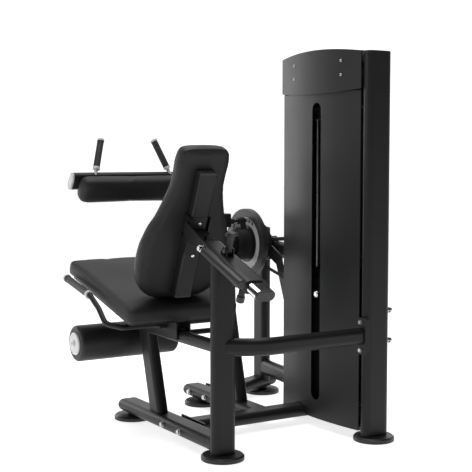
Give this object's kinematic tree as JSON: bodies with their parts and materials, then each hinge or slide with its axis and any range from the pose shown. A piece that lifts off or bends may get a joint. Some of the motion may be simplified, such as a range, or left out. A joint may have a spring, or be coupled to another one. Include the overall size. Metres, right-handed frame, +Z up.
{
  "type": "seated leg extension and leg curl machine",
  "caption": "Seated leg extension and leg curl gym machine with sliding backrest, hold-down pad, ankle roller arm and a shrouded weight stack tower",
  "frame": {"origin": "centre of the rear column's foot, on the floor", "axes": "+X to the sitter's right toward the weight tower, +Y the way the sitter faces, +Z up"},
  "size_m": [1.1345, 1.2779, 1.569],
  "materials": {
    "frame_paint": "satin black textured powder coat",
    "shroud_paint": "satin dark grey powder coat",
    "cushion": "matte dark vinyl",
    "board": "matte black moulded backing",
    "foam": "matte closed-cell foam",
    "grip_rubber": "matte ribbed rubber",
    "black_plastic": "matte black",
    "chrome": "polished",
    "silver_caps": "satin",
    "grey_caps": "satin light grey",
    "steel": "bright turned steel",
    "plates": "satin black",
    "belt": "matte woven belt",
    "label": "satin printed ring",
    "pulley": "matte nylon"
  },
  "bodies": {
    "frame": {"rear_column": "frame_paint", "centre_base_tube": "frame_paint", "front_post": "frame_paint", "seat_beam": "frame_paint", "right_base_tube": "frame_paint", "right_post": "frame_paint", "cross_base_tube": "frame_paint", "diagonal_base_tube": "frame_paint", "far_post": "frame_paint", "side_braces": "frame_paint", "rear_arm": "frame_paint", "tower_uprights": "frame_paint", "tower_floor_beam": "frame_paint", "tower_top_beam": "frame_paint", "inner_shroud": "shroud_paint", "outer_shroud": "shroud_paint", "header_plates": "shroud_paint", "tube_end_caps": "black_plastic", "foot_discs": "black_plastic", "frame_bolts": "steel", "flange_plates": "frame_paint", "pivot_bearings": "frame_paint", "adjuster_sleeve": "frame_paint", "gas_spring_body": "black_plastic", "seat_board": "board", "seat_cushion": "cushion", "seat_handles": "frame_paint", "seat_handle_grips": "grip_rubber", "seat_handle_rings": "silver_caps", "tower_rods": "steel", "resting_plates": "plates", "lift_belt": "belt"},
    "backrest": {"backrest_pad": "cushion", "backrest_board": "board", "backrest_spine": "frame_paint", "backrest_caps": "black_plastic", "inner_tube": "chrome", "backrest_screws": "steel", "gas_spring_rod": "chrome"},
    "release_lever": {"release_lever": "black_plastic"},
    "stop_pin": {"stop_pin_knob": "black_plastic"},
    "drive": {"pivot_shaft": "steel", "index_disc": "frame_paint", "index_label": "label", "belt_cam": "frame_paint"},
    "roller_arm": {"roller_arm": "frame_paint"},
    "index_plunger": {"index_plunger": "black_plastic"},
    "ankle_roller": {"roller_foam": "foam", "roller_end_caps": "silver_caps"},
    "hold_down": {"thigh_arm": "frame_paint", "thigh_pad": "cushion", "thigh_bar_caps": "grey_caps", "thigh_handle_rods": "silver_caps", "thigh_handle_grips": "grip_rubber"},
    "stack": {"lifted_plates": "plates", "selector_rod": "steel", "stack_belt_run": "belt"},
    "selector_pin": {"selector_pin": "chrome"},
    "top_pulley": {"top_pulley": "pulley"},
    "low_pulley": {"low_pulley": "pulley"}
  },
  "joints": [
    {"name": "backrest_slide", "type": "slide", "parent": "frame", "child": "backrest", "axis": [0, 0.9348, 0.3551], "range_m": [0, 0.15]},
    {"name": "release_lever_pivot", "type": "hinge", "parent": "frame", "child": "release_lever", "pos_m": [0, -0.04062, 0.79018], "axis": [1, 0, 0], "range_deg": [0, 25], "stiffness_Nm_per_rad": 0.6},
    {"name": "stop_pin_pull", "type": "slide", "parent": "frame", "child": "stop_pin", "axis": [0, 0.3551, -0.9348], "range_m": [0, 0.012], "stiffness_N_per_m": 400},
    {"name": "drive_pivot", "type": "hinge", "parent": "frame", "child": "drive", "pos_m": [0.661, 0.78, 0.735], "axis": [1, 0, 0], "range_deg": [0, 70]},
    {"name": "roller_arm_pivot", "type": "hinge", "parent": "drive", "child": "roller_arm", "pos_m": [0.5, 0.78, 0.735], "axis": [1, 0, 0], "range_deg": [0, 30]},
    {"name": "index_plunger_push", "type": "slide", "parent": "roller_arm", "child": "index_plunger", "axis": [1, 0, 0], "range_m": [0, 0.012]},
    {"name": "roller_spin", "type": "hinge", "parent": "roller_arm", "child": "ankle_roller", "pos_m": [0, 0.76, 0.35], "axis": [1, 0, 0], "continuous": true},
    {"name": "hold_down_pivot", "type": "hinge", "parent": "frame", "child": "hold_down", "pos_m": [0.445, 0.78, 0.735], "axis": [1, 0, 0], "range_deg": [-55, 20]},
    {"name": "stack_lift", "type": "slide", "parent": "frame", "child": "stack", "axis": [0, 0, 1], "range_m": [0, 0.12], "deforming": ["stack_belt_run"]},
    {"name": "selector_pin_pull", "type": "slide", "parent": "stack", "child": "selector_pin", "axis": [-1, 0, 0], "range_m": [0, 0.125]},
    {"name": "top_pulley_spin", "type": "hinge", "parent": "frame", "child": "top_pulley", "pos_m": [0.661, 0.2825, 1.425], "axis": [1, 0, 0], "range_deg": [-5, 150]},
    {"name": "low_pulley_spin", "type": "hinge", "parent": "frame", "child": "low_pulley", "pos_m": [0.661, 0.4028, 0.6], "axis": [1, 0, 0], "range_deg": [-270, 5]}
  ],
  "couplings": [
    {"joint": "stack_lift", "follows": "drive_pivot", "m_per_rad": 0.0868},
    {"joint": "top_pulley_spin", "follows": "drive_pivot", "ratio": 1.0891},
    {"joint": "low_pulley_spin", "follows": "drive_pivot", "ratio": -2.028}
  ]
}
